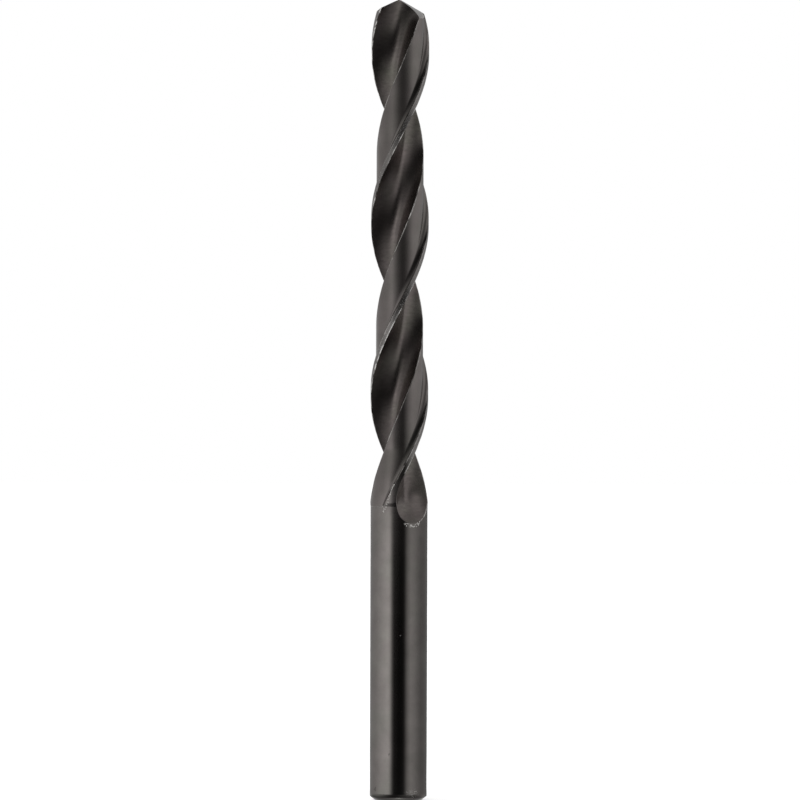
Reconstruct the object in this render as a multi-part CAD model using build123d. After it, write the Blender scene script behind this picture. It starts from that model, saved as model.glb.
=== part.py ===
from build123d import *
import math
import os

os.makedirs("parts", exist_ok=True)

# Twist drill bit with a plain shank, in millimetres. It stands on its flat shank end at
# the origin, with the shank along +Z and the point at the top. Directions are in degrees,
# counterclockwise from +X as seen from the point.

# Bar
overall_length = 125.0
body_diameter = 9.0
shank_diameter = 8.9
body_length = 79.1
shoulder_length = 0.6
chamfer_width = 0.9
chamfer_length = 0.67

# Helix, and the direction its leading edge would have at the very top
helix_lead = 53.7
edge_direction = 58.0

# Flutes. The tool that formed them lifts out of the bar along a curve at their lower end,
# where it also leaves a wider scoop.
flute_length = 81.9
web_thickness = 1.7
flute_bottom_angle = 50.0
flute_bow = 0.1
flute_lift = 3.9
flute_lift_direction = 65.0
flute_lift_length = 7.4
flute_spread = 28.0

# Lands: a proud margin along the leading edge, then a clearance back to the heel, which
# rises to the bar's surface at its lower end
land_angle = 76.5
margin_angle = 10.5
foot_angle = 11.5
clearance_depth = 0.83
margin_hollow = 0.5
clearance_lift = 0.92
margin_side_lift = 0.3
clearance_lift_length = 9.1

# Point
point_angle = 135.0
lip_relief = 20.5
flank_radius = 14.0

body_radius = body_diameter / 2
shank_radius = shank_diameter / 2
web_radius = web_thickness / 2
clearance_radius = body_radius - clearance_depth
flute_end = overall_length - flute_length
shank_length = overall_length - body_length
overrun = body_diameter * 0.1
highest_lift = max(flute_end + flute_lift_length, shank_length + clearance_lift_length)
full_section_start = highest_lift + overrun
twist_rate = 360 / helix_lead
lip_slope = math.radians(90 - point_angle / 2)
lip_reach = math.sqrt(body_radius**2 - web_radius**2)


def polar(radius, angle):
    turned = math.radians(angle)
    return Vector(radius * math.cos(turned), radius * math.sin(turned))


def face_point(radius):
    """A point of the flute face, in the cross-section that has the leading edge along
    +X, such that grinding the point leaves a straight lip just ahead of the centre."""
    rise = (lip_reach - math.sqrt(radius**2 - web_radius**2)) * math.tan(lip_slope)
    ahead = math.asin(web_radius / radius) - math.asin(web_radius / body_radius)
    return polar(radius, math.degrees(ahead) - twist_rate * rise)


def flute_outline(share):
    """What one flute takes out of the cross-section, at a share of the way along the
    lift. It runs along the lip face, round the web and up past the heel of the land."""
    heel_angle = 180 - land_angle + flute_spread * share**1.5
    face = [face_point(body_radius * part) for part in (1.25, 0.8, 0.4)]
    bottom = polar(web_radius, flute_bottom_angle)
    heel = polar(clearance_radius, heel_angle)
    chord = heel - bottom
    middle = (bottom + heel) * 0.5 + Vector(-chord.Y, chord.X) * flute_bow
    heel_out = heel + polar(body_radius * 0.5, heel_angle)
    outside = polar(body_radius * 1.9, flute_lift_direction)
    outline = Wire(
        [
            Edge.make_spline([*face, bottom, middle, heel, heel_out]),
            Edge.make_line(heel_out, outside),
            Edge.make_line(outside, face[0]),
        ]
    )
    return outline.moved(Location(polar(flute_lift * share**2, flute_lift_direction)))


def margin_side(floor_radius):
    """The hollow curve by which the clearance falls behind the margin, from outside the
    bar to a floor of that radius, and the direction in which it gets there."""
    floor_angle = -foot_angle - math.degrees(margin_hollow / floor_radius)
    top = polar(body_radius * 1.3, -margin_angle)
    foot = polar(floor_radius + margin_hollow, -foot_angle)
    return Edge.make_three_point_arc(top, foot, polar(floor_radius, floor_angle)), floor_angle


def clearance_outline(share):
    """What the clearance takes out of the cross-section, at a share of the way along the
    lift. Its floor runs from the hollow to the heel and then straight off the bar."""
    near = clearance_radius + margin_side_lift * share
    far = clearance_radius + clearance_lift * share
    hollow, floor_angle = margin_side(near)
    floor_middle = polar((near + far) / 2, (floor_angle - land_angle) / 2)
    floor_end = polar(far, -land_angle)
    run_off = floor_end + polar(body_radius, -land_angle - 90)
    outside = polar(body_radius * 2, -land_angle)
    return Wire(
        [
            hollow,
            Edge.make_three_point_arc(hollow @ 1, floor_middle, floor_end),
            Edge.make_line(floor_end, run_off),
            Edge.make_line(run_off, outside),
            Edge.make_line(outside, hollow @ 0),
        ]
    )


def land_sector():
    """The clearance's outline with its hollow run on below the floor, so that the round
    core that stays there gives the floor."""
    hollow = margin_side(clearance_radius)[0]
    centre = hollow.arc_center
    deep = centre + (hollow @ 1 - centre).rotate(Axis.Z, 22)
    run_off = polar(body_radius * 0.7, -land_angle)
    outside = polar(body_radius * 2, -land_angle - 20)
    return Wire(
        [
            Edge.make_three_point_arc(hollow @ 0, hollow @ 1, deep),
            Edge.make_line(deep, run_off),
            Edge.make_line(run_off, outside),
            Edge.make_line(outside, hollow @ 0),
        ]
    )


def helix_turn(height):
    """Direction of the leading edge at a height."""
    return edge_direction + twist_rate * (height - overall_length)


def placed(outline, height, side):
    """The outline at its height, turned by the helix."""
    return Location((0, 0, height), (0, 0, helix_turn(height) + side)) * outline


def lift_waste(outline, end, lift_length, side):
    """What is taken out below the full section, down to where the tool has left."""
    sections = []
    steps = 6
    for step in range(steps + 1):
        height = full_section_start + (end - full_section_start) * step / steps
        share = max(0, (end + lift_length - height) / lift_length)
        sections.append(placed(outline(share), height, side))
    return Solid.make_loft(sections)


def channel(outline, side):
    """The outline carried round the helix, from below the full section to above the point."""
    start = full_section_start - overrun / 2
    height = overall_length + overrun - start
    return Solid.extrude_linear_with_rotation(
        placed(outline, start, side), (0, 0, start), (0, 0, height), twist_rate * height
    )


def bar(radius, start, seam):
    """A round bar from a height to the drill's top, with its seam in that direction."""
    plane = Plane((0, 0, start), x_dir=polar(1, seam))
    return Solid.make_cylinder(radius, overall_length - start, plane)


def flank_waste(side):
    """What grinding takes away above one flank. The flank is part of a large cylinder
    whose straight lines run along the lip, so it falls away behind a straight lip."""
    ahead = flank_radius * math.sin(math.radians(lip_relief))
    over_lip = flank_radius * math.cos(math.radians(lip_relief))
    over_centre = math.sqrt(flank_radius**2 - (ahead + web_radius) ** 2)
    lip_rise = (over_lip - over_centre) / math.cos(lip_slope)
    corner_drop = lip_reach * math.tan(lip_slope) - lip_rise
    corner_angle = math.degrees(math.asin(web_radius / body_radius))
    turn = edge_direction + side - twist_rate * corner_drop - corner_angle
    axis_height = overall_length - over_centre / math.cos(lip_slope)
    along_lip = Vector(math.cos(lip_slope), 0, -math.sin(lip_slope))
    axis_start = Vector(0, ahead + web_radius, axis_height) - along_lip * 2 * body_diameter
    stone = Solid.make_cylinder(flank_radius, 4 * body_diameter, Plane(axis_start, z_dir=along_lip))
    block = Box(2 * body_diameter, 2 * body_diameter, body_diameter)
    block = Location((0, 0, overall_length - body_diameter * 0.15)) * block
    return Location((0, 0, 0), (0, 0, turn)) * (block - stone)


# Shank and run-outs, turned as one bar
profile = Polyline(
    (0, 0),
    (shank_radius - chamfer_width, 0),
    (shank_radius, chamfer_length),
    (shank_radius, shank_length),
    (body_radius, shank_length + shoulder_length),
    (body_radius, full_section_start),
    (0, full_section_start),
    close=True,
)
lower = revolve(Plane.XZ * make_face(profile), Axis.Z)
lower = Location((0, 0, 0), (0, 0, helix_turn(flute_end) + flute_lift_direction)) * lower
waste = []
for side in (0, 180):
    waste.append(lift_waste(flute_outline, flute_end, flute_lift_length, side))
    waste.append(lift_waste(clearance_outline, shank_length, clearance_lift_length, side))
lower = lower - waste

# Full section and point. The seams are turned into a flute where the two halves join.
seam = helix_turn(full_section_start) + flute_lift_direction
core = bar(clearance_radius, full_section_start - overrun, seam)
upper = bar(body_radius, full_section_start, seam)
for side in (0, 180):
    upper = upper - flank_waste(side)
waste = []
for side in (0, 180):
    waste.append(channel(flute_outline(0), side))
    waste.append(channel(land_sector(), side) - core)
upper = upper - waste

drill = lower + upper

export_step(drill, "parts/twist_drill.step")
print("faces", len(drill.faces()), "volume", round(drill.volume, 1))
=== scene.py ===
# %% [markdown]
# A twist drill bit with a plain shank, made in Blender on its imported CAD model. The frame
# gives the real size and place. The looks are made here: a body with finely broken edges,
# a dark steam-tempered steel with the marks of its making, and the burrs it kept.

# %% Load the frame
import math

import bmesh
import bpy
import numpy as np
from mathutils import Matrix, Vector
from mathutils.geometry import delaunay_2d_cdt


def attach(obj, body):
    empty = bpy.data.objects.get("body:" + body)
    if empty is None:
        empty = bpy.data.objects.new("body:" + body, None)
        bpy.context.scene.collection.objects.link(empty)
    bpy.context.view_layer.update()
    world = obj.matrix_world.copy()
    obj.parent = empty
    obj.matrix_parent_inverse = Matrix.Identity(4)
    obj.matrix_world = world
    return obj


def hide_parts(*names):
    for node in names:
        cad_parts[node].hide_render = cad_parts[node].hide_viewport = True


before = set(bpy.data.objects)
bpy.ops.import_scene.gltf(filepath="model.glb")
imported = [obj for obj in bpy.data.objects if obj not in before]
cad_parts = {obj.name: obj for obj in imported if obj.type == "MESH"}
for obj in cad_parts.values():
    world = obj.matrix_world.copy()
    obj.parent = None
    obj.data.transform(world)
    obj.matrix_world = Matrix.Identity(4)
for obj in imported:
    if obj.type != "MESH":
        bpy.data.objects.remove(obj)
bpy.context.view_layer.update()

MM = 0.001

# %% [markdown]
# The drill stands on its shank end. The camera looks at it level, from 0.8 m away, with a
# long lens, so that the 125 mm of the drill fill the square view and the helix keeps
# its true slope at both ends. A drill never stands quite upright, so the camera is
# rolled by a hair.

# %% Camera
VIEW_HEIGHT = 0.125
CAMERA_AWAY = 0.8
CAMERA_RIGHT = 0.0001
CAMERA_ROLL = -0.176
SENSOR = 36.0
camera_data = bpy.data.cameras.new("camera")
camera_data.sensor_width = SENSOR
camera_data.lens = SENSOR * CAMERA_AWAY / VIEW_HEIGHT
camera_data.clip_end = 20
camera = bpy.data.objects.new("camera", camera_data)
camera.location = (CAMERA_RIGHT, -CAMERA_AWAY, VIEW_HEIGHT / 2)
camera.rotation_euler = (math.pi / 2, math.radians(CAMERA_ROLL), 0)
bpy.context.collection.objects.link(camera)
bpy.context.scene.camera = camera
bpy.context.scene.view_settings.view_transform = "Standard"
print("lens", round(camera_data.lens, 1), "mm")


# %% [markdown]
# Node trees are long to write out one link at a time, so small helpers put a node in a
# tree, set what is plain on it, and link what comes from another node.

# %% Helpers for node trees
def put(tree, kind, settings=None, **inputs):
    """A new node. Settings are the node's own choices. Inputs are its sockets, by name
    or, as i0 and i1, by number."""
    node = tree.nodes.new(kind)
    for name, value in (settings or {}).items():
        setattr(node, name, value)
    for name, value in inputs.items():
        numbered = name[1:].isdigit()
        socket = node.inputs[int(name[1:]) if numbered else name.replace("_", " ")]
        if isinstance(value, bpy.types.NodeSocket):
            tree.links.new(value, socket)
        else:
            socket.default_value = value
    return node


def sent(tree, kind, settings=None, **inputs):
    """What a new node puts out first."""
    return put(tree, kind, settings, **inputs).outputs[0]


def math_node(tree, operation, a, b=0.0):
    return sent(tree, "ShaderNodeMath", {"operation": operation}, i0=a, i1=b)


def ranged(tree, value, from_low, from_high, to_low=0.0, to_high=1.0):
    """A value carried from one range to another, and held at its ends."""
    ends = {"From_Min": from_low, "From_Max": from_high, "To_Min": to_low, "To_Max": to_high}
    return sent(tree, "ShaderNodeMapRange", Value=value, **ends)


print("helpers put, sent, math_node and ranged are ready")

# %% [markdown]
# Dark polished steel is a mirror with little light in it: it shows what stands round it.
# The room itself is white and lights the drill softly from everywhere. To the camera it is
# plain white. The steel sees it only straight above and below, as a tent hangs between.

# %% Room
room = bpy.data.worlds.new("light_tent")
bpy.context.scene.world = room
room.use_nodes = True
tree = room.node_tree
path = put(tree, "ShaderNodeLightPath")
seen = math_node(tree, "MAXIMUM", path.outputs["Is Camera Ray"], path.outputs["Is Glossy Ray"])
seen = math_node(tree, "MAXIMUM", seen, path.outputs["Is Transmission Ray"])
ROOM_LIGHT, ROOM_SEEN = 0.6, 1.0
level = ranged(tree, seen, 0.0, 1.0, ROOM_LIGHT, ROOM_SEEN)
tree.nodes["Background"].inputs["Color"].default_value = (1, 1, 1, 1)
tree.links.new(level, tree.nodes["Background"].inputs["Strength"])
print("the room lights with", ROOM_LIGHT, "and is seen as", ROOM_SEEN)


# %% [markdown]
# Soft panels are hung round a shiny tool, because all that it shows is their reflection.
# Here a tent hangs round the drill: a bright low panel on the left, a dimmer tall one on
# the right, and a dark gap that the camera looks through. The plan holds one
# ring for each height above or below the drill, in degrees. A ring is a list of pairs:
# the degrees round from the camera to its right, and the light of the cloth there. The
# upright shank mirrors only the level rings, so those are planned most closely.

# %% Light plan
SHANK_PLAN = [
    (-180, 0.5), (-165, 0.4), (-150, 0.36), (-125, 0.47), (-100, 0.57), (-68, 0.84),
    (-46, 1.03), (-38, 0.95), (-31, 0.52), (-25, 0.15), (-18, 0.025), (0, 0.007), (16, 0.01),
    (23, 0.035), (29, 0.17), (37, 0.37), (50, 0.55), (67, 0.46), (82, 0.34), (100, 0.24),
    (150, 0.23), (165, 0.08), (172, 0.06), (180, 0.5),
]
LAND_PLAN = [
    (-180, 0.5), (-145, 0.52), (-100, 0.47), (-68, 0.42), (-38, 0.58), (-23, 0.42), (-8, 0.2),
    (7, 0.09), (22, 0.065), (37, 0.12), (52, 0.33), (67, 0.57), (90, 0.62), (115, 0.57),
    (150, 0.35), (165, 0.17), (172, 0.12), (180, 0.5),
]
PLAN = {
    -84: [(-180, 0.4), (180, 0.4)],
    -68: [(-180, 0.3), (0, 0.15), (180, 0.3)],
    -55: [(-180, 0.25), (-40, 0.04), (0, 0.045), (60, 0.08), (180, 0.25)],
    -37: [
        (-180, 0.3), (-130, 0.1), (-98, 0.08), (-68, 0.05), (-38, 0.02), (0, 0.03), (37, 0.08),
        (97, 0.08), (130, 0.12), (180, 0.3),
    ],
    -22: [
        (-180, 0.45), (-128, 0.14), (-98, 0.3), (-68, 0.24), (-38, 0.1), (-23, 0.045), (-8, 0.035),
        (22, 0.1), (52, 0.16), (82, 0.15), (97, 0.2), (127, 0.35), (180, 0.45),
    ],
    -11.5: [
        (-180, 0.5), (-98, 0.42), (-68, 0.35), (-53, 0.2), (-38, 0.1), (-23, 0.05), (-8, 0.03),
        (7, 0.04), (22, 0.09), (37, 0.2), (52, 0.3), (82, 0.25), (150, 0.25), (170, 0.15),
        (180, 0.5),
    ],
    -7.5: SHANK_PLAN,
    -1.6: SHANK_PLAN,
    -0.8: LAND_PLAN,
    7: LAND_PLAN,
    12: [
        (-180, 0.55), (-143, 0.6), (-100, 0.5), (-68, 0.3), (-50, 0.17), (-38, 0.1), (-23, 0.06),
        (-8, 0.06), (7, 0.09), (22, 0.17), (37, 0.3), (52, 0.42), (67, 0.5), (85, 0.48),
        (120, 0.42), (150, 0.35), (180, 0.55),
    ],
    22: [
        (-180, 0.6), (-143, 0.7), (-100, 0.55), (-68, 0.3), (-50, 0.16), (-38, 0.09), (-23, 0.045),
        (-8, 0.055), (7, 0.1), (22, 0.22), (37, 0.38), (67, 0.46), (85, 0.53), (120, 0.5),
        (180, 0.6),
    ],
    37: [
        (-180, 0.5), (-100, 0.25), (-68, 0.15), (-40, 0.04), (10, 0.018), (22, 0.025), (37, 0.06),
        (60, 0.06), (75, 0.07), (85, 0.15), (98, 0.42), (130, 0.4), (180, 0.5),
    ],
    52: [
        (-180, 0.4), (-100, 0.2), (-60, 0.03), (-8, 0.006), (5, 0.005), (14, 0.06), (22, 0.3),
        (38, 0.52), (55, 0.63), (80, 0.52), (97, 0.36), (120, 0.28), (180, 0.4),
    ],
    85: [(-180, 0.3), (0, 0.2), (60, 0.4), (180, 0.3)],
}


def planned(plan, value):
    return float(np.interp(value, *zip(*plan)))


def tent_glow(around, up):
    """The light of the cloth in a direction, between the pairs and rings of the plan."""
    return planned([(height, planned(ring, around)) for height, ring in PLAN.items()], up)


print("rings planned", len(PLAN), "light beside the camera", round(tent_glow(-45, 0), 2))

# %% [markdown]
# The tent is a ball of cloth, with open poles, whose points hold the planned light. Only
# reflections see it: the camera looks through it, and it neither lights nor shades the
# drill. It reaches below the floor as well, so that the drill's foot mirrors the same
# soft light as the rest, instead of a hard line where a floor would begin.

# %% Light tent
def new_object(name, verts, edges, faces):
    """A mesh object in the scene."""
    mesh = bpy.data.meshes.new(name)
    mesh.from_pydata(verts, edges, faces)
    made = bpy.data.objects.new(name, mesh)
    bpy.context.collection.objects.link(made)
    return made


def remember(piece, name, kind, domain, values):
    """Gives a value to every point or face of a mesh."""
    layer = piece.data.attributes.new(name, kind, domain)
    layer.data.foreach_set("vector" if kind == "FLOAT_VECTOR" else "value", values)


TENT_R, TENT_Z = 1.0, 0.06
AROUND = 120
verts, glows, faces = [], [], []
rings = [*range(-84, -12, 4), *range(-12, -1), -1.6, -0.8, *range(0, 12), *range(14, 87, 3)]
for up in rings:
    radius = TENT_R * math.cos(math.radians(up))
    height = TENT_Z + TENT_R * math.sin(math.radians(up))
    for k in range(AROUND + 1):
        around = -180 + 360 * k / AROUND
        turn = math.radians(around)
        verts.append((radius * math.sin(turn), -radius * math.cos(turn), height))
        glows.append(tent_glow(around, up))
for i in range(len(rings) - 1):
    for k in range(AROUND):
        corner = i * (AROUND + 1) + k
        above = corner + AROUND + 1
        faces.append((corner, corner + 1, above + 1, above))
tent = new_object("light_tent", verts, [], faces)
remember(tent, "glow", "FLOAT", "POINT", glows)
cloth = bpy.data.materials.new("tent_cloth")
cloth.use_nodes = True
tree = cloth.node_tree
tree.nodes.clear()
lit = put(tree, "ShaderNodeAttribute", {"attribute_name": "glow"})
glowing = sent(tree, "ShaderNodeEmission", Strength=lit.outputs["Fac"])
put(tree, "ShaderNodeOutputMaterial", Surface=glowing)
tent.data.materials.append(cloth)
tent.visible_camera = False
tent.visible_shadow = False
tent.visible_diffuse = False
print("tent light from", round(min(glows), 3), "to", round(max(glows), 3))

# %% [markdown]
# The floor is plain and pale. It glows a little, so that it is as white as the room, and
# the drill's soft shadow still stays on it. Like the lamp it is hidden from reflections,
# because the steel mirrors the tent alone.

# %% Floor
HALF_FLOOR = 3
FLOOR_GLOW = 0.55
ends = [(x * HALF_FLOOR, y * HALF_FLOOR, 0) for x, y in ((-1, -1), (1, -1), (1, 1), (-1, 1))]
floor = new_object("floor", ends, [], [(0, 1, 2, 3)])
floor.visible_glossy = False
floor_paint = bpy.data.materials.new("floor_paint")
floor_paint.use_nodes = True
shader = floor_paint.node_tree.nodes["Principled BSDF"]
dull = {"Base Color": (0.9, 0.9, 0.9, 1), "Roughness": 1, "Specular IOR Level": 0}
glow = {"Emission Color": (1, 1, 1, 1), "Emission Strength": FLOOR_GLOW}
for name, value in {**dull, **glow}.items():
    shader.inputs[name].default_value = value
floor.data.materials.append(floor_paint)
print("floor is", 2 * HALF_FLOOR, "m wide and glows with", FLOOR_GLOW)

# %% [markdown]
# One wide soft lamp on the left gives the light a side, so that the crumbs, the floor and
# the dull margins are a little brighter there.

# %% Lamp
lamp_data = bpy.data.lights.new("softbox", "AREA")
lamp_data.shape = "RECTANGLE"
lamp_data.size, lamp_data.size_y = 0.5, 0.9
lamp_data.energy = 2.5
lamp = bpy.data.objects.new("softbox", lamp_data)
lamp.location = (-0.75, -0.3, 0.35)
lamp.rotation_euler = (-lamp.location).to_track_quat("-Z", "Y").to_euler()
lamp.visible_glossy = False
bpy.context.collection.objects.link(lamp)
print("lamp of", lamp_data.energy, "W stands", round(lamp.location.length, 2), "m away")


# %% [markdown]
# Every machined surface carries fine lines, in the direction in which the tool or the
# stone passed. The effect is a shader node group, because the steel uses it several
# times: round the shank, along the flutes and as the grain of the margins. Each use
# stretches its noise another way.

# %% Shader group for tool marks
def group(name, output, inputs):
    """A shader group whose inputs have those plain values, and its inner sockets."""
    made = bpy.data.node_groups.new(name, "ShaderNodeTree")
    for label, value in inputs.items():
        kind = "NodeSocketVector" if isinstance(value, tuple) else "NodeSocketFloat"
        socket = made.interface.new_socket(label, in_out="INPUT", socket_type=kind)
        socket.default_value = value
    made.interface.new_socket(output, in_out="OUTPUT", socket_type="NodeSocketFloat")
    print("group", name, "takes", list(inputs), "and gives", output)
    return made, put(made, "NodeGroupInput").outputs, put(made, "NodeGroupOutput").inputs


def vector_node(tree, operation, a, b=(0, 0, 0)):
    node = put(tree, "ShaderNodeVectorMath", {"operation": operation}, i0=a, i1=b)
    return node.outputs["Value" if operation == "LENGTH" else "Vector"]


def noise(tree, place, **inputs):
    return put(tree, "ShaderNodeTexNoise", Vector=place, **inputs).outputs["Fac"]


ORIGIN = (0, 0, 0)
marks_inputs = {"Place": ORIGIN, "Lines": (1, 1, 1), "Roughening": 0.5}
tool_marks, given, result = group("tool_marks", "Height", marks_inputs)
stretched = vector_node(tool_marks, "MULTIPLY", given["Place"], given["Lines"])
roughening = given["Roughening"]
lines = noise(tool_marks, stretched, Scale=1.0, Detail=3.0, Roughness=roughening)
tool_marks.links.new(lines, result["Height"])

# %% [markdown]
# A steamed surface is never quite even: the oxide grows a little thicker or browner from
# place to place. A second group makes such clouds, and gives a factor that lies between a
# least and a most value.

# %% Shader group for uneven tone
tone_inputs = {"Place": ORIGIN, "Size": 300.0, "Least": 0.8, "Most": 1.2}
uneven, given, result = group("uneven_tone", "Factor", tone_inputs)
size = given["Size"]
clouds = noise(uneven, given["Place"], Scale=size, Detail=4.0, Roughness=0.6)
factor = ranged(uneven, clouds, 0.3, 0.7, given["Least"], given["Most"])
uneven.links.new(factor, result["Factor"])

# %% [markdown]
# Handling leaves a few small spots: a smudge, a nick, a place where the drill was rubbed.
# A third group masks one spot about a centre, with a rim that noise frays.

# %% Shader group for spots
spot_inputs = {"Place": ORIGIN, "Centre": ORIGIN, "Reach": 0.0005}
spot_inputs |= {"Stretch": (1, 1, 1), "Speckle": 4000.0}
spot, given, result = group("spot", "Mask", spot_inputs)
away = vector_node(spot, "SUBTRACT", given["Place"], given["Centre"])
away = vector_node(spot, "MULTIPLY", away, given["Stretch"])
away = math_node(spot, "DIVIDE", vector_node(spot, "LENGTH", away), given["Reach"])
flecks = noise(spot, given["Place"], Scale=given["Speckle"], Detail=2.0)
away = math_node(spot, "ADD", away, math_node(spot, "MULTIPLY", flecks, 2.0))
inside_spot = ranged(spot, away, 1.2, 1.7, 1.0, 0.0)
spot.links.new(inside_spot, result["Mask"])

# %% [markdown]
# All pieces are one steel. Its tree is long, so these helpers each place one thing in it:
# a mask that the mesh carries, a mix of two numbers or colours, or one of the groups.

# %% Steel and its helpers
steel = bpy.data.materials.new("tool_steel")
steel.use_nodes = True
tree = steel.node_tree
steel_shader = tree.nodes["Principled BSDF"]
place = put(tree, "ShaderNodeTexCoord").outputs["Object"]
straight = put(tree, "ShaderNodeAttribute", {"attribute_name": "straight"}).outputs["Vector"]


def mask(name):
    return put(tree, "ShaderNodeAttribute", {"attribute_name": name}).outputs["Fac"]


def mixed(share, a, b):
    """A number or colour between two, by a share."""
    kind = "RGBA" if isinstance(a, tuple) or getattr(a, "type", "") == "RGBA" else "FLOAT"
    node = put(tree, "ShaderNodeMix", {"data_type": kind})
    sockets = {s.name: s for s in node.inputs if s.enabled}
    for socket, value in ((sockets["Factor"], share), (sockets["A"], a), (sockets["B"], b)):
        if isinstance(value, bpy.types.NodeSocket):
            tree.links.new(value, socket)
        else:
            socket.default_value = value
    return next(s for s in node.outputs if s.enabled)


def placed_group(kind, place_from, **values):
    """One of the shader groups, placed in the steel with its own values."""
    return sent(tree, "ShaderNodeGroup", {"node_tree": kind}, Place=place_from, **values)


def marks_group(place_from, lines, roughening):
    return placed_group(tool_marks, place_from, Lines=lines, Roughening=roughening)


def tone_group(place_from, size, least, most):
    return placed_group(uneven, place_from, Size=size, Least=least, Most=most)


def spot_group(centre, reach, stretch=(1, 1, 1)):
    centre = tuple(v * MM for v in centre)
    return placed_group(spot, place, Centre=centre, Reach=reach * MM, Stretch=stretch)


def times(a, b):
    return math_node(tree, "MULTIPLY", a, b)


def most_of(a, b):
    return math_node(tree, "MAXIMUM", a, b)


def clamped(value):
    return sent(tree, "ShaderNodeClamp", Value=value)


print("steel starts with", len(tree.nodes), "nodes")

# %% [markdown]
# These are the fine things that break up the steel, all from the groups. What runs with
# the helix uses "straight", the place that each point had before the drill was twisted;
# the rest uses the plain place. First stands how many waves go into a metre, and then how
# rough the noise is, or the least and the most that it gives.

# %% Marks and tones
turning = marks_group(place, (60, 60, 9000), 0.6)
drawing = marks_group(straight, (5000, 5000, 60), 0.6)
grain = marks_group(place, (5000, 5000, 5000), 0.7)
tone = tone_group(place, 260.0, 0.87, 1.13)
scuffs = marks_group(place, (900, 900, 3200), 0.65)
mottle = ranged(tree, scuffs, 0.3, 0.7, 0.83, 1.17)
rubbed = ranged(tree, marks_group(straight, (2500, 2500, 700), 0.6), 0.4, 0.56)
patches = clamped(tone_group(straight, 150.0, -0.1, 1.5))
speckled = tone_group(place, 7000.0, -1.0, 0.45)
flecked = clamped(tone_group(place, 6500.0, -1.2, 1.3))
cast = clamped(tone_group(straight, 160.0, -0.5, 1.0))
print("steel nodes with marks", len(tree.nodes))

# %% [markdown]
# Bare metal shows where the oxide has gone: in broken lines on the edges, in specks on
# the margins, which rub in the hole, and in a few spots on the shank. The body's points
# carry masks for margin, land, flute, edge and flank. A smudge and a nick are darker.
# Each spot has its centre and reach in millimetres, and some are stretched.

# %% Bare and dark places
RUBBED_SPOT = ((2.3, -3.8, 1.4), 1.3, (0.7, 1, 1))
FLECKS = (((0.26, -4.44, 25.9), 0.13), ((-3.22, -3.07, 28.1), 0.1), ((-1.3, -4.3, 8.2), 0.12))
SMUDGE = ((-3.6, -2.6, 1.9), 0.55)
NICK = ((-1.45, -4.2, 7.4), 0.18, (1, 1, 0.5))
on_edge = clamped(times(mask("edge"), times(rubbed, patches)))
on_margin = clamped(times(mask("margin"), speckled))
bare = most_of(on_edge, on_margin)
bare = most_of(bare, times(times(spot_group(*RUBBED_SPOT), flecked), 0.5))
for fleck in FLECKS:
    bare = most_of(bare, times(spot_group(*fleck), 0.35))
dark = times(most_of(spot_group(*SMUDGE), spot_group(*NICK)), 0.6)
print("spots", len(FLECKS) + 3)

# %% [markdown]
# The steel is steam tempered, which grows a thin black oxide. Each part has its own grey,
# by how it was made: the turned shank, the ground lands, the browner formed flutes, and
# the margins and flanks, which were ground last. A faint cast of rose and olive drifts
# over them. The crumbs of burr carry a mask of their own and are nearly bare.

# %% Colour of the steel
flute_colour = mixed(cast, (0.229, 0.199, 0.191, 1), (0.214, 0.204, 0.178, 1))
land_colour = mixed(cast, (0.242, 0.218, 0.21, 1), (0.228, 0.216, 0.198, 1))
shank_colour = mixed(cast, (0.252, 0.231, 0.221, 1), (0.24, 0.232, 0.213, 1))
coats = (
    (mask("land"), land_colour),
    (mask("flute"), flute_colour),
    (mask("margin"), (0.28, 0.264, 0.256, 1)),
    (mask("flank"), (0.3, 0.285, 0.278, 1)),
    (dark, (0.08, 0.075, 0.07, 1)),
    (bare, (0.8, 0.785, 0.76, 1)),
    (mask("burr"), (0.85, 0.83, 0.8, 1)),
)
colour = shank_colour
for share, coat in coats:
    colour = mixed(share, colour, coat)
tone = times(tone, mixed(mask("flute"), 1.0, mottle))
toned = sent(tree, "ShaderNodeVectorMath", {"operation": "SCALE"}, i0=colour, Scale=tone)
tree.links.new(toned, steel_shader.inputs["Base Color"])
print("coats of colour over the shank's", len(coats))

# %% [markdown]
# The shank is the smoothest and mirrors the tent most clearly. Flutes, margins and flanks
# are duller. Bare places are rough and only half metallic, so that they look light from
# every side. The lines of the tools are a few thousandths of a millimetre deep.

# %% Polish and relief
ROUGH = (("land", 0.2), ("flute", 0.27), ("margin", 0.25), ("flank", 0.3))
rough = 0.12
for part, value in ROUGH:
    rough = mixed(mask(part), rough, value)
rough = mixed(bare, rough, 0.5)
tree.links.new(rough, steel_shader.inputs["Roughness"])
metal = mixed(mask("burr"), mixed(bare, 1.0, 0.45), 0.3)
tree.links.new(metal, steel_shader.inputs["Metallic"])

relief = mixed(mask("flute"), turning, drawing)
relief = mixed(mask("margin"), relief, grain)
bumped = sent(tree, "ShaderNodeBump", Strength=0.3, Distance=0.000004, Height=relief)
tree.links.new(bumped, steel_shader.inputs["Normal"])
print("steel nodes", len(tree.nodes))

# %% [markdown]
# The body is one bar of tool steel with a rule for its shape. Every cross-section is the
# same outline, turned a little further at each height, so it is easiest to draw straight
# and twist afterwards. These sizes are the drill's own, in millimetres and degrees, and
# zero degrees is the leading edge of the first land.

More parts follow.
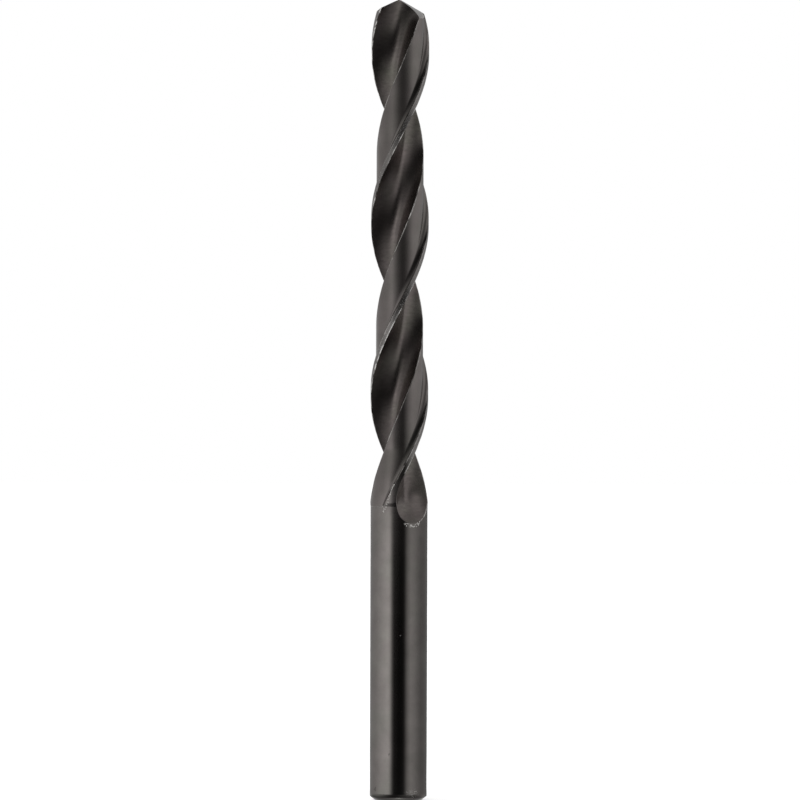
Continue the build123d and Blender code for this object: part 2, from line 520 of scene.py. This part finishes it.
# %% Sizes of the drill
LENGTH = 125.0
BODY_R, SHANK_R, CORE_R = 4.5, 4.45, 3.67
SHANK_TOP, SHOULDER_TOP = 45.9, 46.5
CHAMFER_IN, CHAMFER_UP = 0.9, 0.67
LEAD, EDGE_AT_TOP = 53.7, 58.0
WEB_R = 0.85
FACE_PARTS, BOTTOM_AT, BOW = (1.25, 0.8, 0.4), 50.0, 0.1
LAND, MARGIN, FOOT, HOLLOW = 76.5, 10.5, 11.5, 0.5
FLUTE_END, LIFT, LIFT_AIM, LIFT_UP, SPREAD = 43.1, 3.9, 65.0, 7.4, 28.0
CLEAR_LIFT, SIDE_LIFT, CLEAR_UP = 0.92, 0.3, 9.1
POINT_ANGLE, LIP_RELIEF, FLANK_R = 135.0, 20.5, 14.0
LIP_SLOPE = math.radians(90 - POINT_ANGLE / 2)
LIP_REACH = math.sqrt(BODY_R**2 - WEB_R**2)
print("turns of the helix", round((LENGTH - FLUTE_END) / LEAD, 2))


# %% [markdown]
# The outlines are drawn with points, arcs and smooth curves. NumPy does this for many
# points at once, which keeps it quick.

# %% Points and arcs
def polar(radius, degrees):
    turned = np.radians(degrees)
    return np.stack([radius * np.cos(turned), radius * np.sin(turned)], axis=-1)


def angle_of(points):
    """Directions of points, counted down from +60 degrees so that they never jump."""
    degrees = np.degrees(np.arctan2(points[..., 1], points[..., 0]))
    return np.where(degrees > 60, degrees - 360, degrees)


def arc_through(a, b, c, count):
    """Points of the arc from a through b to c."""
    (ax, ay), (bx, by), (cx, cy) = a, b, c
    d = 2 * (ax * (by - cy) + bx * (cy - ay) + cx * (ay - by))
    a2, b2, c2 = ax * ax + ay * ay, bx * bx + by * by, cx * cx + cy * cy
    centre_x = (a2 * (by - cy) + b2 * (cy - ay) + c2 * (ay - by)) / d
    centre_y = (a2 * (cx - bx) + b2 * (ax - cx) + c2 * (bx - ax)) / d
    centre = np.array([centre_x, centre_y])
    start, middle, end = (np.arctan2(*(np.array(p) - centre)[::-1]) for p in (a, b, c))
    sweep = (end - start) % (2 * np.pi)
    if (middle - start) % (2 * np.pi) > sweep:
        sweep -= 2 * np.pi
    turned = start + np.linspace(0, 1, count) * sweep
    radius = np.linalg.norm(np.array(a) - centre)
    return centre + radius * np.stack([np.cos(turned), np.sin(turned)], axis=-1)


print("a quarter turn passes", arc_through((1, 0), polar(1, 45), (0, 1), 3)[1].round(3))

# %% [markdown]
# A smooth curve through points is made of cubic pieces that meet with the same slope and
# the same bend. That gives one set of equations for all slopes. The slopes at the two
# ends are those of a single cubic through the four nearest points.

# %% Smooth curve
def smooth_curve(points, count):
    """A smooth curve through the points, with that many steps in each span."""
    p = np.array(points, dtype=float)
    t = np.concatenate([[0], np.cumsum(np.linalg.norm(np.diff(p, axis=0), axis=1))])
    n = len(p)

    def end_slope(near, at):
        slope = np.zeros(2)
        for i in near:
            others = [j for j in near if j != i]
            bottom = np.prod([t[i] - t[j] for j in others])
            top = sum(np.prod([t[at] - t[k] for k in others if k != j]) for j in others)
            slope += p[i] * top / bottom
        return slope

    weights, right = np.eye(n), np.zeros((n, 2))
    right[0], right[-1] = end_slope(range(4), 0), end_slope(range(n - 4, n), n - 1)
    for i in range(1, n - 1):
        h0, h1 = t[i] - t[i - 1], t[i + 1] - t[i]
        weights[i, i - 1 : i + 2] = h1, 2 * (h0 + h1), h0
        right[i] = 3 * (h1 * (p[i] - p[i - 1]) / h0 + h0 * (p[i + 1] - p[i]) / h1)
    m = np.linalg.solve(weights, right)
    out = []
    for i in range(n - 1):
        h = t[i + 1] - t[i]
        for u in np.arange(count) / count:
            near = (2 * u**3 - 3 * u**2 + 1) * p[i] + (u**3 - 2 * u**2 + u) * h * m[i]
            far = (3 * u**2 - 2 * u**3) * p[i + 1] + (u**3 - u**2) * h * m[i + 1]
            out.append(near + far)
    return np.array(out + [p[-1]])


print("points through four", len(smooth_curve([(0, 0), (1, 1), (2, 1), (3, 0)], 5)))

# %% [markdown]
# One flute is a smooth curve: a nearly straight face behind the cutting lip, a tight
# turn round the web, and a long back up to the heel of the next land. Lower down the
# tool that formed it lifts away, so the curve moves out of the bar and opens wider.

# %% Flute curve
def face_point(radius):
    rise = (LIP_REACH - math.sqrt(radius**2 - WEB_R**2)) * math.tan(LIP_SLOPE)
    ahead = math.degrees(math.asin(WEB_R / radius) - math.asin(WEB_R / BODY_R))
    return polar(radius, ahead - 360 / LEAD * rise)


def flute_curve(height):
    share = max(0.0, (FLUTE_END + LIFT_UP - height) / LIFT_UP)
    heel_at = 180 - LAND + SPREAD * share**1.5
    bottom, heel = polar(WEB_R, BOTTOM_AT), polar(CORE_R, heel_at)
    chord = heel - bottom
    middle = (bottom + heel) / 2 + np.array([-chord[1], chord[0]]) * BOW
    heel_out = heel + polar(BODY_R * 0.5, heel_at)
    face = [face_point(BODY_R * part) for part in FACE_PARTS]
    moved = polar(LIFT * share**2, LIFT_AIM)
    return smooth_curve([*face, bottom, middle, heel, heel_out], 60) + moved


print("flute comes within", round(np.linalg.norm(flute_curve(100.0), axis=1).min(), 3), "mm")

# %% [markdown]
# A land is the outside between two flutes. Its first ten degrees are the margin, at the
# full diameter, which guides the drill in the hole. Behind it the land is ground lower so
# that it doesn't rub, and near the shank that clearance runs out in a small step. The
# stone that ground it swings out gently, so the run-out starts softly and has no kink.

# %% Land curve
SOFT_START = 0.2
CURVE_STEPS = 60
OUTSIDE = 9.0


def bar_radius(height):
    if height < CHAMFER_UP:
        return SHANK_R - CHAMFER_IN * (1 - height / CHAMFER_UP)
    if height < SHANK_TOP:
        return SHANK_R
    rise = min(1.0, (height - SHANK_TOP) / (SHOULDER_TOP - SHANK_TOP))
    return SHANK_R + (BODY_R - SHANK_R) * rise


def land_curve(height, cleared):
    """The land's directions, going down, and its radius in each, and the directions
    where the hollow behind the margin starts and ends."""
    radius = bar_radius(height)
    share = max(0.0, (SHANK_TOP + CLEAR_UP - height) / CLEAR_UP)
    if share < 1:
        share = (1 + SOFT_START) * share**2 / (share + SOFT_START)
    near, far = CORE_R + SIDE_LIFT * share, CORE_R + CLEAR_LIFT * share
    floor_at = -FOOT - math.degrees(HOLLOW / near)
    start, end = polar(near, floor_at), polar(far, -LAND)
    top, foot = polar(BODY_R * 1.3, -MARGIN), polar(near + HOLLOW, -FOOT)
    hollow = arc_through(top, foot, start, CURVE_STEPS)
    middle = polar((near + far) / 2, (floor_at - LAND) / 2)
    floor = arc_through(start, middle, end, 90)
    run_off = end + polar(np.linspace(0.02, BODY_R, CURVE_STEPS), -LAND - 90)
    cut = np.concatenate([hollow, floor[1:], run_off])
    angles, radii = angle_of(cut), np.linalg.norm(cut, axis=1)
    margin_end = np.interp(-radius, -radii[:CURVE_STEPS], angles[:CURVE_STEPS])
    before = np.linspace(59, angles[0] + 0.01, 80)
    after = np.linspace(angles[-1] - 0.01, -299, 120)
    angles = np.concatenate([before, angles, after])
    radii = np.concatenate([np.full(80, OUTSIDE), radii, np.full(120, OUTSIDE)])
    radii = np.minimum(radii, radius) if cleared else np.full(len(radii), radius)
    return angles, radii, margin_end, floor_at


print("margin ends at", round(float(land_curve(100.0, True)[2]), 2), "degrees")

# %% [markdown]
# Half of the outline at a height goes from the leading edge round the land to the heel,
# and from there down into the next flute and up its face. It always gets the same number
# of points, so that the outlines of all heights join into a net. Every corner is broken
# by a hair's breadth, as on real steel, because a perfectly sharp edge catches no light.

# %% Half an outline
BREAK = 0.05
MARGIN_STEPS, HOLLOW_STEPS, FLOOR_STEPS, FLUTE_STEPS = 8, 8, 20, 44
HALF = MARGIN_STEPS + HOLLOW_STEPS + FLOOR_STEPS + FLUTE_STEPS + 3


def eased(count):
    """Shares from 0 to 1 that lie closer together at both ends."""
    u = np.linspace(0, 1, count + 1)
    return u + 0.5 * (u * (1 - u) * (2 * u - 1))


def half_outline(height, cleared, last_close):
    """The half outline, and the direction in which the flute last had any width."""
    angles, radii, margin_end, floor_at = land_curve(height, cleared)
    flute = -flute_curve(height)
    where = angle_of(flute)
    depth = np.interp(-where, -angles, radii) - np.linalg.norm(flute, axis=1)
    inside = np.flatnonzero(depth > 0)
    if len(inside) < 2:
        shut = np.interp(-last_close, -angles, radii)
        across = np.repeat([polar(shut, last_close)], FLUTE_STEPS + 1, axis=0)
        lead_at, heel_at, trim = last_close + 180, last_close, 0.0
    else:
        i, j = inside[0], inside[-1]
        first = flute[i - 1] + (flute[i] - flute[i - 1]) * depth[i - 1] / (depth[i - 1] - depth[i])
        final = flute[j] + (flute[j + 1] - flute[j]) * depth[j] / (depth[j] - depth[j + 1])
        line = np.concatenate([[first], flute[i : j + 1], [final]])[::-1]
        run = np.concatenate([[0], np.cumsum(np.linalg.norm(np.diff(line, axis=0), axis=1))])
        trim = min(BREAK, 0.2 * run[-1])
        marks = trim + (run[-1] - 2 * trim) * eased(FLUTE_STEPS)
        across = np.stack([np.interp(marks, run, line[:, k]) for k in (0, 1)], axis=-1)
        lead_at, heel_at = angle_of(first) + 180, angle_of(final)
        last_close = (angle_of(first) + angle_of(final)) / 2
    slack = math.degrees(BREAK / BODY_R)
    lead_in = lead_at - math.degrees(trim / BODY_R)
    heel_in = heel_at + math.degrees(trim / BODY_R)
    margin = lead_in + (margin_end + slack - lead_in) * eased(MARGIN_STEPS)
    shares = np.linspace(0, 1, HOLLOW_STEPS + 1)
    hollow = margin_end - slack + (floor_at - margin_end + slack) * shares
    floor = floor_at + (heel_in - floor_at) * eased(FLOOR_STEPS)
    land = np.concatenate([margin, hollow, floor[1:]])
    return np.concatenate([polar(np.interp(-land, -angles, radii), land), across]), last_close


print("points in half an outline", len(half_outline(100.0, True, LIFT_AIM)[0]), "of", HALF)

# %% [markdown]
# The outlines stand at these heights: a few up the plain shank, many where the flutes run
# out and the shapes change quickly, and then one for every few degrees of twist. The
# lowest point of a flute is looked for first, because its end is round there.

# %% Heights and straight net
HALVINGS = 40
NET_TOP = 119.0
low_end, high_end = FLUTE_END, FLUTE_END + 1.0
for _ in range(HALVINGS):
    middle_end = (low_end + high_end) / 2
    nearest_in = np.linalg.norm(flute_curve(middle_end), axis=1).min()
    if nearest_in < bar_radius(middle_end):
        high_end = middle_end
    else:
        low_end = middle_end
FLUTE_FOOT = high_end
heights = [0.0, CHAMFER_UP - 0.05, CHAMFER_UP + 0.05, 1.2, *np.linspace(2, 42.8, 24), 43.1]
heights += list(FLUTE_FOOT + 0.7 * np.linspace(0, 1, 22) ** 2)
heights += list(np.arange(FLUTE_FOOT + 0.8, SHANK_TOP - 0.05, 0.1)) + [SHANK_TOP - 0.001]
clear_from = len(heights)
heights += [SHANK_TOP + 0.001] + list(np.arange(SHANK_TOP + 0.05, 56.0, 0.1))
heights += list(np.arange(56.2, NET_TOP, 0.4)) + [NET_TOP]
rows, close_at = [], LIFT_AIM - 180.0
for i in range(len(heights) - 1, -1, -1):
    half, close_at = half_outline(heights[i], i >= clear_from, close_at)
    rows.append(np.concatenate([half, -half]))
rows.reverse()
print("outlines", len(rows), "points in each", len(rows[0]), "flutes end at", round(FLUTE_FOOT, 2))


# %% [markdown]
# The point is ground as two flanks. Each flank is a piece of a large cylinder whose
# straight lines run along the cutting lip, so behind the lip it falls away, and where the
# two flanks meet is the short chisel edge in the middle.

# %% Flanks
def helix_turn(height):
    return EDGE_AT_TOP + (height - LENGTH) * 360 / LEAD


def turned(points, degrees):
    c, s = np.cos(np.radians(degrees)), np.sin(np.radians(degrees))
    x, y = points[..., 0], points[..., 1]
    return np.stack([x * c - y * s, x * s + y * c], axis=-1)


def flank_heights(points):
    """Heights of both flanks over points seen from above."""
    beside = FLANK_R * math.sin(math.radians(LIP_RELIEF)) + WEB_R
    over_lip = FLANK_R * math.cos(math.radians(LIP_RELIEF))
    over_centre = math.sqrt(FLANK_R**2 - beside**2)
    corner_drop = LIP_REACH * math.tan(LIP_SLOPE) - (over_lip - over_centre) / math.cos(LIP_SLOPE)
    aim = EDGE_AT_TOP - 360 / LEAD * corner_drop - math.degrees(math.asin(WEB_R / BODY_R))
    found = []
    for side in (0, 180):
        local = turned(points, -aim - side)
        up = np.sqrt(FLANK_R**2 - (local[..., 1] - beside) ** 2) - over_centre
        found.append(LENGTH + (up - local[..., 0] * math.sin(LIP_SLOPE)) / math.cos(LIP_SLOPE))
    return found


def point_height(points):
    return np.minimum(*flank_heights(points))


full = rows[-1]
low_z, high_z = np.full(len(full), NET_TOP), np.full(len(full), LENGTH + 1.0)
for _ in range(HALVINGS):
    mid_z = (low_z + high_z) / 2
    over = point_height(turned(full, helix_turn(mid_z))) > mid_z
    low_z, high_z = np.where(over, mid_z, low_z), np.where(over, high_z, mid_z)
rim_z = low_z
rim = turned(full, helix_turn(rim_z))
print("point reaches", round(float(rim_z.max()), 2), "corners at", round(float(rim_z[0]), 2))

# %% [markdown]
# The flanks are filled with a fine mesh of triangles between their rim and the chisel
# edge, where one flank's height passes the other's. The chisel edge is found at a few
# distances from the centre, and mirrored. The rim's own points are used, so that the
# flanks close onto the body without a gap.

# %% Filling the flanks
def within(points, ring):
    """Which points lie inside a closed ring."""
    inside = np.zeros(len(points), dtype=bool)
    for (ax, ay), (bx, by) in zip(ring, np.roll(ring, -1, axis=0)):
        spans = (ay > points[:, 1]) != (by > points[:, 1])
        cross = ax + (points[:, 1] - ay) / np.where(by == ay, 1e-9, by - ay) * (bx - ax)
        inside ^= spans & (points[:, 0] < cross)
    return inside


def chisel_gap(points):
    one, other = flank_heights(points)
    return one - other


GRID_STEP = 0.2
grid_line = np.arange(-4.6, 4.6, GRID_STEP)
signs = np.sign(chisel_gap(rim))
near_web = np.linalg.norm(rim, axis=1) < 1.6
crossing = [i for i in range(len(rim)) if near_web[i] and signs[i] != signs[i - 1]]
chisel_ends = crossing[:1] + [(crossing[0] + HALF) % len(rim)]
chisel = []
end_radius = np.linalg.norm(rim[chisel_ends[0]])
end_at = math.degrees(math.atan2(*rim[chisel_ends[0]][::-1]))
for radius in np.linspace(0, end_radius, 9)[1:-1]:
    tries = end_at + np.linspace(-50, 50, 2001)
    gaps = chisel_gap(polar(radius, tries))
    change = np.flatnonzero(np.diff(np.sign(gaps)))
    best = change[np.argmin(abs(tries[change] - end_at))]
    end_at = tries[best]
    chisel.append(polar(radius, end_at))
chisel = [*[-p for p in chisel[::-1]], np.zeros(2), *chisel]

grid = np.stack(np.meshgrid(grid_line, grid_line), -1).reshape(-1, 2)
grid = grid[within(grid, rim)]
fine_ring = np.concatenate([rim, (rim + np.roll(rim, -1, axis=0)) / 2, np.array(chisel)])
nearest = np.linalg.norm(grid[:, None] - fine_ring[None], axis=2).min(axis=1)
grid = grid[nearest > GRID_STEP / 2]
flat = [Vector(p) for p in (*rim, *chisel, *grid)]
first = len(rim)
chisel_edges = [(first + k, first + k + 1) for k in range(len(chisel) - 1)]
chisel_edges += [(chisel_ends[1], first), (first + len(chisel) - 1, chisel_ends[0])]
filled = delaunay_2d_cdt(flat, chisel_edges, [list(range(len(rim)))], 1, 1e-5)
cap_points = np.array([tuple(v) for v in filled[0]])
print("flank points", len(cap_points), "of", len(flat), "triangles", len(filled[2]))

# %% [markdown]
# Each point of an outline knows what it is part of: margin, land or flute. It also knows
# how much its edge is rubbed: most at the leading edge, which meets the work, less at the
# heel, and least in the hollow behind the margin.

# %% Parts and edges of an outline
NAMES = ("margin", "land", "flute", "edge", "flank")
land_stop = MARGIN_STEPS + 1 + HOLLOW_STEPS + 1 + FLOOR_STEPS
part_of = np.zeros((HALF, 3))
part_of[: MARGIN_STEPS + 1, 0] = 1
part_of[MARGIN_STEPS + 1 : land_stop, 1] = 1
part_of[land_stop:, 2] = 1
edge_of, hollow_edge = np.zeros(HALF), np.zeros(HALF)
edge_of[[land_stop - 1, land_stop]] = 1.0
edge_of[[0, HALF - 1]] = 1.6
edge_of[[1, HALF - 2]] = 0.5, 0.25
edge_of[[2, land_stop - 2, land_stop + 1]] = 0.15
hollow_edge[[MARGIN_STEPS, MARGIN_STEPS + 1]] = 0.4
LEADING = (0, 1, 2, HALF - 2, HALF - 1)
print("points of a half: margin, land, flute", part_of.sum(axis=0).astype(int))

# %% [markdown]
# The points of all outlines make one net, still straight, which goes on to the rim of the
# flanks in rows that bend up to meet it. Low down the edges were never in the work, so
# rubbing starts at a height of its own for each. The margin's bare grinding fades in.

# %% Points of the straight mesh
LEADING_WEAR_FROM, HOLLOW_WEAR_FROM, HEEL_WEAR_FROM = 51.0, 50.0, FLUTE_FOOT + 0.3
GROUND_FROM, GROUND_FADE = 52.0, 3.0
STEP_WEAR, STEP_COLUMNS = 0.8, 32
count = 2 * HALF
points, marks = [], []
for i, height in enumerate(heights):
    for k in range(count):
        points.append((*rows[i][k], height))
        column = k % HALF
        cut = height > FLUTE_FOOT
        above = height > SHANK_TOP
        start = LEADING_WEAR_FROM if column in LEADING else HEEL_WEAR_FROM
        edge = edge_of[column] * (height > start)
        edge = max(edge, hollow_edge[column] * (height > HOLLOW_WEAR_FROM))
        if abs(height - SHANK_TOP) < 0.01 and part_of[column][1] and column < STEP_COLUMNS:
            edge = STEP_WEAR
        ground = min(1.0, max(0.0, (height - GROUND_FROM) / GROUND_FADE))
        marks.append((*(part_of[column] * (ground, above, cut)), edge, 0.0))
TOP_ROWS, RIM_WEAR = 18, 0.8
for step in range(1, TOP_ROWS + 1):
    share = step / TOP_ROWS
    for k in range(count):
        column = k % HALF
        height = NET_TOP + (rim_z[k] - NET_TOP) * share
        points.append((*full[k], height))
        on_rim = step == TOP_ROWS and column < land_stop
        edge = max(edge_of[column], hollow_edge[column], RIM_WEAR * on_rim)
        marks.append((*part_of[column], edge, 0.0))
print("points of the outlines", len(points))

# %% [markdown]
# Quads join the outlines. One face closes the shank below, and the flanks' triangles
# close the point above. Faces of the margins and of the shank are noted as truly round,
# for their shading.

# %% Faces of the straight mesh
faces, rounds = [], []
levels = len(heights) + TOP_ROWS
for i in range(levels - 1):
    top = heights[i + 1] if i + 1 < len(heights) else LENGTH
    for k in range(count):
        n = (k + 1) % count
        on_margin = k % HALF < MARGIN_STEPS and top > SHOULDER_TOP + 0.1
        on_shank = 1.2 < top < SHANK_TOP and (k % HALF < land_stop - 1 or top <= FLUTE_FOOT)
        rounds.append(on_margin or on_shank)
        faces.append((i * count + k, (i + 1) * count + k, (i + 1) * count + n, i * count + n))
faces.append(tuple(range(count)))
rim_first = (levels - 1) * count
flank_index = {}
for k, origin in enumerate(filled[3]):
    used = [o for o in origin if o < count]
    if used:
        flank_index[k] = rim_first + used[0]
    else:
        place = cap_points[k]
        height = float(point_height(place))
        flank_index[k] = len(points)
        points.append((*turned(place, -helix_turn(height)), height))
        marks.append((0, 0, 0, 0, 1.0))
for a, b, c in filled[2]:
    faces.append((flank_index[a], flank_index[b], flank_index[c]))
print("net of", len(points), "points and", len(faces), "faces")

# %% [markdown]
# Where a flute has no width, its points fall together. They are used once, and faces that
# have shrunk to a line are left out.

# %% Points used once
points, marks = np.array(points, dtype=float), np.array(marks, dtype=float)
unique = np.unique(np.round(points, 5), axis=0, return_index=True, return_inverse=True)
kept, same = unique[1], unique[2].reshape(-1)
points, marks = points[kept], marks[kept]
rounds += [False] * (len(faces) - len(rounds))
clean, on_round = [], []
for face, is_round in zip(faces, rounds):
    face = [int(same[v]) for v in face]
    face = [v for n, v in enumerate(face) if v != face[n - 1]]
    if len(set(face)) > 2 and len(set(face)) == len(face):
        clean.append(face)
        on_round.append(is_round)
print("points", len(points), "faces", len(clean))

# %% [markdown]
# Geometry nodes do what repeats or follows a path. These helpers make a tree with named
# inputs, end it, and run it on an object, which is then left as a plain mesh.

# %% Helpers for geometry trees
def new_tree(name, inputs):
    """A geometry tree with inputs of those kinds, and its inner sockets."""
    made = bpy.data.node_groups.new(name, "GeometryNodeTree")
    for side, kinds in (("INPUT", inputs), ("OUTPUT", {"Geometry": "Geometry"})):
        for label, kind in kinds.items():
            made.interface.new_socket(label, in_out=side, socket_type="NodeSocket" + kind)
    return made, put(made, "NodeGroupInput").outputs, put(made, "NodeGroupOutput").inputs


def finished_tree(tree, geometry, steel_input, result):
    """The end of every tree: what it made becomes real, and gets its steel."""
    real = sent(tree, "GeometryNodeRealizeInstances", Geometry=geometry)
    steeled = sent(tree, "GeometryNodeSetMaterial", Geometry=real, Material=steel_input)
    tree.links.new(steeled, result[0])
    print("tree", tree.name, "has", len(tree.nodes), "nodes")


def run_tree(piece, tree, values):
    """Runs a tree with those inputs, and puts its result in place of the piece's mesh."""
    modifier = piece.modifiers.new(tree.name, "NODES")
    modifier.node_group = tree
    for item in tree.interface.items_tree:
        if item.in_out == "INPUT" and item.name in values:
            modifier[item.identifier] = values[item.name]
    seen_piece = piece.evaluated_get(bpy.context.evaluated_depsgraph_get())
    made = bpy.data.meshes.new_from_object(seen_piece)
    piece.modifiers.clear()
    piece.data = made


# %% [markdown]
# A twist is a turn that grows with the height: every point turns about the axis by its
# height below the point, over the lead. The tree takes the lead and the height and
# direction of the point as inputs, so it would twist a drill with another helix too.

# %% Twisting tree
twisting_inputs = {"Geometry": "Geometry", "Lead": "Float", "Point Height": "Float"}
twisting_inputs |= {"Point Direction": "Float", "Steel": "Material"}
twisting, given, result = new_tree("twisting", twisting_inputs)
position = sent(twisting, "GeometryNodeInputPosition")
height_of = put(twisting, "ShaderNodeSeparateXYZ", Vector=position).outputs["Z"]
below = math_node(twisting, "SUBTRACT", height_of, given["Point Height"])
turns = math_node(twisting, "DIVIDE", below, given["Lead"])
angle = math_node(twisting, "MULTIPLY", turns, 2 * math.pi)
angle = math_node(twisting, "ADD", angle, given["Point Direction"])
about_z = {"rotation_type": "Z_AXIS"}
twisted = sent(twisting, "ShaderNodeVectorRotate", about_z, Vector=position, Angle=angle)
net = given["Geometry"]
moved = sent(twisting, "GeometryNodeSetPosition", Geometry=net, Position=twisted)
finished_tree(twisting, moved, given["Steel"], result)

# %% [markdown]
# The straight mesh becomes an object with its masks, and is twisted. Its printed volume
# can be set beside that of the CAD model.

# %% Body
SHARP_FROM = 58
body = new_object("drill_body", [tuple(p) for p in points * MM], [], clean)
body.data.materials.append(steel)
for k, name in enumerate(NAMES):
    remember(body, name, "FLOAT", "POINT", marks[:, k].astype(np.float32))
flat_points = (points * MM).astype(np.float32).ravel()
remember(body, "straight", "FLOAT_VECTOR", "POINT", flat_points)
remember(body, "round", "INT", "FACE", [int(flag) for flag in on_round])
point_at = {"Point Height": LENGTH * MM, "Point Direction": math.radians(EDGE_AT_TOP)}
run_tree(body, twisting, {"Lead": LEAD * MM, "Steel": steel, **point_at})

helper = bmesh.new()
helper.from_mesh(body.data)
bmesh.ops.recalc_face_normals(helper, faces=helper.faces)
helper.to_mesh(body.data)
print("volume in mm3", round(helper.calc_volume() / MM**3, 1), "faces", len(helper.faces))
helper.free()
for face in body.data.polygons:
    face.use_smooth = True
body.data.set_sharp_from_angle(angle=math.radians(SHARP_FROM))

# %% [markdown]
# The margins and the shank are exactly round, and a mirror shows the smallest fault. So
# their shading points straight out from the axis, whatever faces lie beside them.

# %% Round shading
def read(items, name, width, kind):
    """One property of all items of a mesh, as an array."""
    found = np.zeros((len(items), width) if width > 1 else len(items), dtype=kind)
    items.foreach_get(name, found.reshape(-1))
    return found


corners = read(body.data.corner_normals, "vector", 3, float)
vertex_of = read(body.data.loops, "vertex_index", 1, int)
flags = read(body.data.attributes["round"].data, "value", 1, int)
sides = read(body.data.polygons, "loop_total", 1, int)
outward = read(body.data.vertices, "co", 3, float)
outward[:, 2] = 0
outward /= np.maximum(np.linalg.norm(outward, axis=1, keepdims=True), 1e-9)
is_round = np.repeat(flags, sides) == 1
corners[is_round] = outward[vertex_of[is_round]]
body.data.normals_split_custom_set(corners.tolist())
print("corners that shade round", int(is_round.sum()), "of", len(is_round))
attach(body, "root")
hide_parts("twist_drill")

# %% [markdown]
# Where a cutter ran out through the bar's skin it pushed up a ragged burr: crumbs of bare
# steel along the lower rim of each flute, and along the side and foot of each clearance.
# Geometry nodes scatter them along a line: each crumb is a ball of few faces, squeezed
# and turned by chance.

# %% Crumbling tree
FULL_TURN = 6.28
crumbling_inputs = {"Geometry": "Geometry", "Spacing": "Float", "Crumb": "Float"}
crumbling_inputs |= {"Scatter": "Vector", "Seed": "Int", "Steel": "Material"}
crumbling, given, result = new_tree("crumbling", crumbling_inputs)


def chance(low, high, offset):
    """A random vector per crumb, each of its parts between low and high."""
    seed = math_node(crumbling, "ADD", given["Seed"], offset)
    node = put(crumbling, "FunctionNodeRandomValue", {"data_type": "FLOAT_VECTOR"}, Seed=seed)
    node.inputs["Min"].default_value = (low, low, low)
    node.inputs["Max"].default_value = (high, high, high)
    return node.outputs[0]


curve = sent(crumbling, "GeometryNodeMeshToCurve", Mesh=given["Geometry"])
by_length, spacing = {"mode": "LENGTH"}, given["Spacing"]
spaced = sent(crumbling, "GeometryNodeResampleCurve", by_length, Curve=curve, Length=spacing)
shift = vector_node(crumbling, "MULTIPLY", chance(-1, 1, 1), given["Scatter"])
strewn = sent(crumbling, "GeometryNodeSetPosition", Geometry=spaced, Offset=shift)
ball = sent(crumbling, "GeometryNodeMeshIcoSphere", Radius=given["Crumb"], Subdivisions=1)
crumbs = sent(
    crumbling,
    "GeometryNodeInstanceOnPoints",
    Points=strewn,
    Instance=ball,
    Rotation=chance(0, FULL_TURN, 2),
    Scale=chance(0.35, 1.1, 3),
)
of_crumb = {"data_type": "FLOAT", "domain": "INSTANCE"}
store = "GeometryNodeStoreNamedAttribute"
marked = sent(crumbling, store, of_crumb, Geometry=crumbs, Name="burr", Value=1.0)
finished_tree(crumbling, marked, given["Steel"], result)

# %% [markdown]
# A line of crumbs is put in its twisted place, just under the skin, so that the crumbs
# are half sunk into the bar, and once more half a turn on, for the drill's other side.

# %% Helpers for burrs
SUNK = 0.5


def burr_line(name, line, spacing, crumb, scatter, seed):
    """Crumbs along a line of the net and along its twin on the other side."""
    verts = []
    for side in (1, -1):
        for place, height in line:
            sunk = 1 - crumb * SUNK / np.linalg.norm(place)
            twisted_place = turned(side * place * sunk, helix_turn(height)) * MM
            verts.append((*twisted_place, height * MM))
    joined = [(k, k + 1) for k in range(len(verts) - 1) if k != len(line) - 1]
    burr = new_object(name, verts, joined, [])
    values = {"Spacing": spacing * MM, "Crumb": crumb * MM, "Seed": seed, "Steel": steel}
    run_tree(burr, crumbling, {"Scatter": tuple(v * MM for v in scatter), **values})
    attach(burr, "root")
    print(name, "faces", len(burr.data.polygons))


print("burrs stand at", SUNK, "of a crumb's radius below the skin")

# %% [markdown]
# The lines are taken from the net, so they follow the rims: round the foot of the flute,
# up beside the margin and along the foot of the clearance. Their low ends lie a little
# under the rims, as the cutters pushed the steel down. The numbers of a burr are the
# spacing of its crumbs, their radius and scatter, in millimetres, and its seed.

# %% Burrs
RIM_REACH, RIM_DROP = 0.36, 0.35
SIDE_REACH, SIDE_DROP, SIDE_SWING, SWING_FADE = 3.4, 0.9, 7, 2.5
FOOT_DROP = 0.15
rim_rows = [i for i, h in enumerate(heights) if FLUTE_FOOT < h < FLUTE_FOOT + RIM_REACH]
rim_line = [(rows[i][HALF - 1], heights[i] - RIM_DROP) for i in reversed(rim_rows)]
rim_line += [(rows[i][land_stop], heights[i] - RIM_DROP) for i in rim_rows]
side_line = []
for i, height in enumerate(heights):
    if SHANK_TOP < height < SHANK_TOP + SIDE_REACH:
        swing = max(0.0, SIDE_SWING - SWING_FADE * (height - SHANK_TOP))
        side_line.append((turned(rows[i][MARGIN_STEPS], swing), height))
side_line = [(side_line[0][0], SHANK_TOP - SIDE_DROP)] + side_line
foot_columns = range(MARGIN_STEPS - 2, MARGIN_STEPS + 15)
foot_line = [(rows[clear_from][k], SHANK_TOP - FOOT_DROP) for k in foot_columns]
burr_line("flute_burr", rim_line, 0.027, 0.1, (0.14, 0.01, 0.26), 3)
burr_line("clearance_burr", side_line, 0.05, 0.08, (0.14, 0.03, 0.2), 8)
burr_line("foot_burr", foot_line, 0.09, 0.065, (0.1, 0.02, 0.3), 5)
